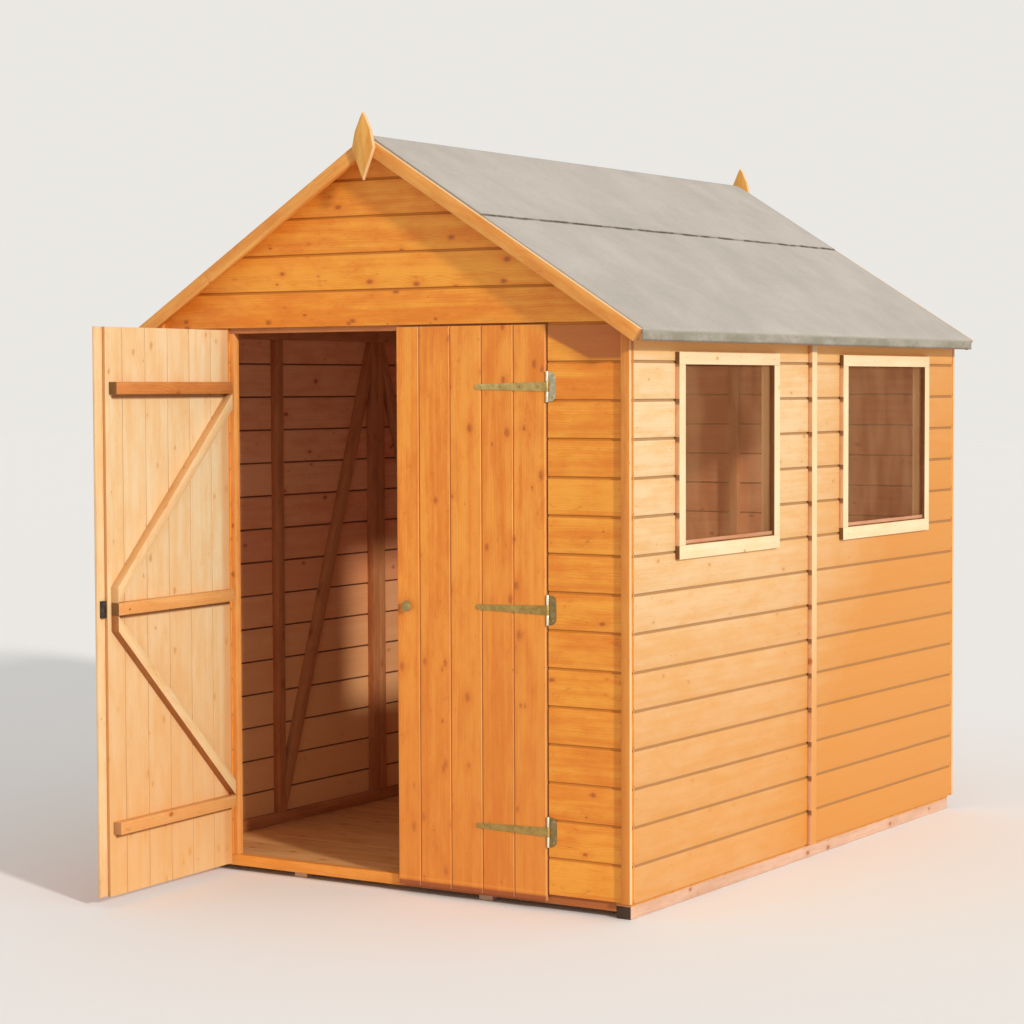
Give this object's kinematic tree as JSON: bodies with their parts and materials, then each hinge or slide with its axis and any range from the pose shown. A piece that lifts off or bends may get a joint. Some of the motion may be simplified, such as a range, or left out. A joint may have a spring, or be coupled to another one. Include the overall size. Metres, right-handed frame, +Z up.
{
  "type": "wooden garden shed",
  "caption": "Apex-roofed wooden garden shed with double doors in the gable, side windows, felted roof and plank floor.",
  "frame": {"origin": "underside of the middle floor bearer, in the middle of the shed's plan", "axes": "+Z up, +Y from the door gable to the rear gable, +X to the right seen from the doors"},
  "size_m": [1.944, 3.1152, 2.43],
  "materials": {
    "front_boards": "honey-orange stained boards",
    "side_boards": "pale stained boards",
    "door_boards": "honey-orange stained boards",
    "frame_timber": "rough sawn",
    "base_timber": "rough sawn, treated",
    "floor_boards": "plain boards",
    "trim_timber": "planed",
    "barge_timber": "planed",
    "roof_felt": "mineral-faced roofing felt",
    "window_glass": "clear glazing",
    "hinge_steel": "zinc plated",
    "dark_iron": "black"
  },
  "bodies": {
    "shed": {"barge_boards": "barge_timber", "corner_strips": "trim_timber", "door_head": "frame_timber", "door_sill": "frame_timber", "felt_left": "roof_felt", "felt_ridge": "roof_felt", "felt_right": "roof_felt", "finials": "barge_timber", "floor_bearers": "base_timber", "floor_boards": "floor_boards", "frame_posts": "frame_timber", "front_gable": "front_boards", "front_wall_left": "front_boards", "front_wall_right": "front_boards", "gable_rafters": "frame_timber", "hinge_plates": "hinge_steel", "joint_strips": "trim_timber", "left_braces": "frame_timber", "left_wall_front": "side_boards", "left_wall_rear": "side_boards", "rear_rails": "frame_timber", "rear_studs": "frame_timber", "rear_wall": "front_boards", "right_wall_front": "side_boards", "right_wall_rear": "side_boards", "roof_battens": "frame_timber", "roof_panel_left": "floor_boards", "roof_panel_right": "floor_boards", "side_rails": "frame_timber", "side_studs": "frame_timber", "window_glass": "window_glass", "window_head_trims": "trim_timber", "window_side_trims": "trim_timber", "window_sill_trims": "trim_timber"},
    "left_door": {"left_door_boards": "door_boards", "left_door_braces": "frame_timber", "left_door_hinges": "hinge_steel", "left_door_latch": "dark_iron", "left_door_ledges": "frame_timber", "left_door_strip": "trim_timber"},
    "right_door": {"right_door_boards": "door_boards", "right_door_braces": "frame_timber", "right_door_hinges": "hinge_steel", "right_door_knob": "dark_iron", "right_door_ledges": "frame_timber"}
  },
  "joints": [
    {"name": "left_door_hinge", "type": "hinge", "parent": "shed", "child": "left_door", "pos_m": [-0.611, -1.2065, 0.913], "axis": [0, 0, 1], "range_deg": [-53.5, 86.5]},
    {"name": "right_door_hinge", "type": "hinge", "parent": "shed", "child": "right_door", "pos_m": [0.611, -1.2065, 0.913], "axis": [0, 0, 1], "range_deg": [0, 140]}
  ]
}
